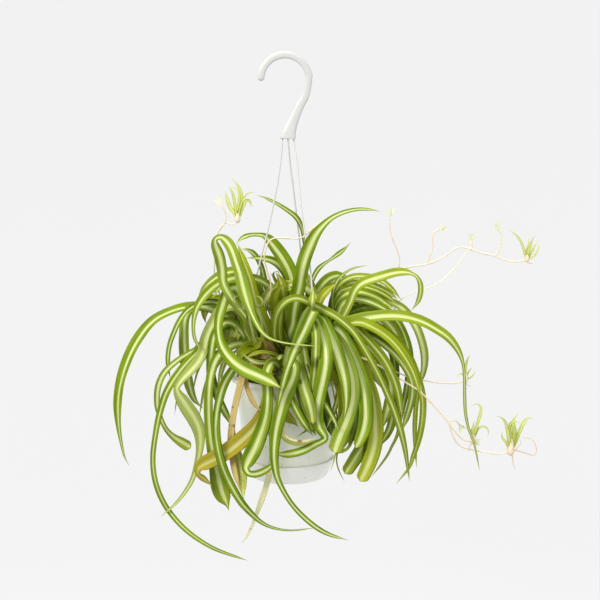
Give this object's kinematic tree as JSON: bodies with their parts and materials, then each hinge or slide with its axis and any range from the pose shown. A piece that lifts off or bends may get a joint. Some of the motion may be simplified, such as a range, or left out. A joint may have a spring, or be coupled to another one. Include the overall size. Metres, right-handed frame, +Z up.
{
  "type": "potted spider plant",
  "caption": "Variegated spider plant with arching leaves, runners and plantlets, in a white plastic hanging pot with saucer, three wires and a hook.",
  "frame": {"origin": "inner top of the hook, where it hangs on its bar", "axes": "+Z up, +X towards the long runners on the right as seen from the front, +Y away from the viewer, towards the back"},
  "size_m": [0.5571, 0.3849, 0.6398],
  "materials": {
    "hook_plastic": "satin white plastic",
    "wire_plastic": "satin white plastic",
    "pot_plastic": "translucent milky plastic, satin",
    "saucer_plastic": "translucent milky plastic, smooth",
    "soil": "crumbly potting soil",
    "leaf": "waxy green with a cream centre stripe",
    "dry_leaf": "dry, papery, straw coloured",
    "runner": "smooth straw-coloured stalk",
    "plantlet": "fresh green with a straw base"
  },
  "bodies": {
    "root": {"hook": "hook_plastic", "wire_left": "wire_plastic", "wire_back": "wire_plastic", "wire_right": "wire_plastic", "pot": "pot_plastic", "saucer": "saucer_plastic", "soil": "soil", "leaves_left": "leaf", "leaves_centre": "leaf", "leaves_right": "leaf", "leaves_front": "leaf", "leaves_dry": "dry_leaf", "runner_left": "runner", "runner_top": "runner", "bud_stem": "runner", "runner_right_upper": "runner", "runner_right_middle": "runner", "runner_right_lower": "runner", "plantlet_left": "plantlet", "plantlet_right_upper": "plantlet", "plantlet_right_middle": "plantlet", "plantlet_right_inner": "plantlet", "plantlet_right_lower": "plantlet"}
  },
  "joints": []
}
